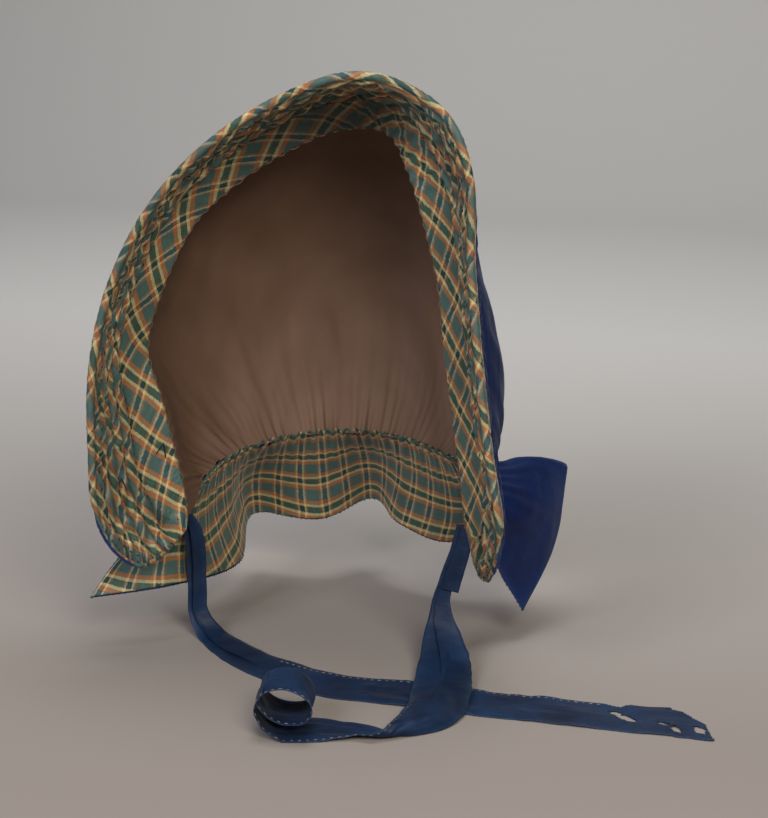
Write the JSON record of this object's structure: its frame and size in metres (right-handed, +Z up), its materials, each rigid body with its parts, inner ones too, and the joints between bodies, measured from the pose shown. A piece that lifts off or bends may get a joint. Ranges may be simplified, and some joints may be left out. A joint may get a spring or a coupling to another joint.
{
  "type": "quilted hood",
  "caption": "Padded silk hood with a flaring quilted brim faced in plaid, a puffed lined crown, a gathered neck curtain with flared corners, and ribbon ties that hang below the lappets.",
  "frame": {"origin": "top of the wearer's head inside the crown, where the hood sits", "axes": "+Z up, -Y out of the face opening, +X toward the wearer's left"},
  "size_m": [0.3774, 0.2951, 0.3445],
  "materials": {
    "blue_silk": "navy silk with a soft sheen",
    "plaid_silk": "teal, green, orange and cream plaid silk",
    "brown_cotton": "brown glazed cotton",
    "ribbon_silk": "navy silk ribbon"
  },
  "bodies": {
    "root": {"brim_cover": "blue_silk", "brim_facing": "plaid_silk", "crown_cover": "blue_silk", "crown_lining": "brown_cotton", "neck_curtain": "blue_silk", "neck_curtain_lining": "plaid_silk", "tie_right": "ribbon_silk", "tie_left": "ribbon_silk", "tie_left_tab": "ribbon_silk"}
  },
  "joints": []
}
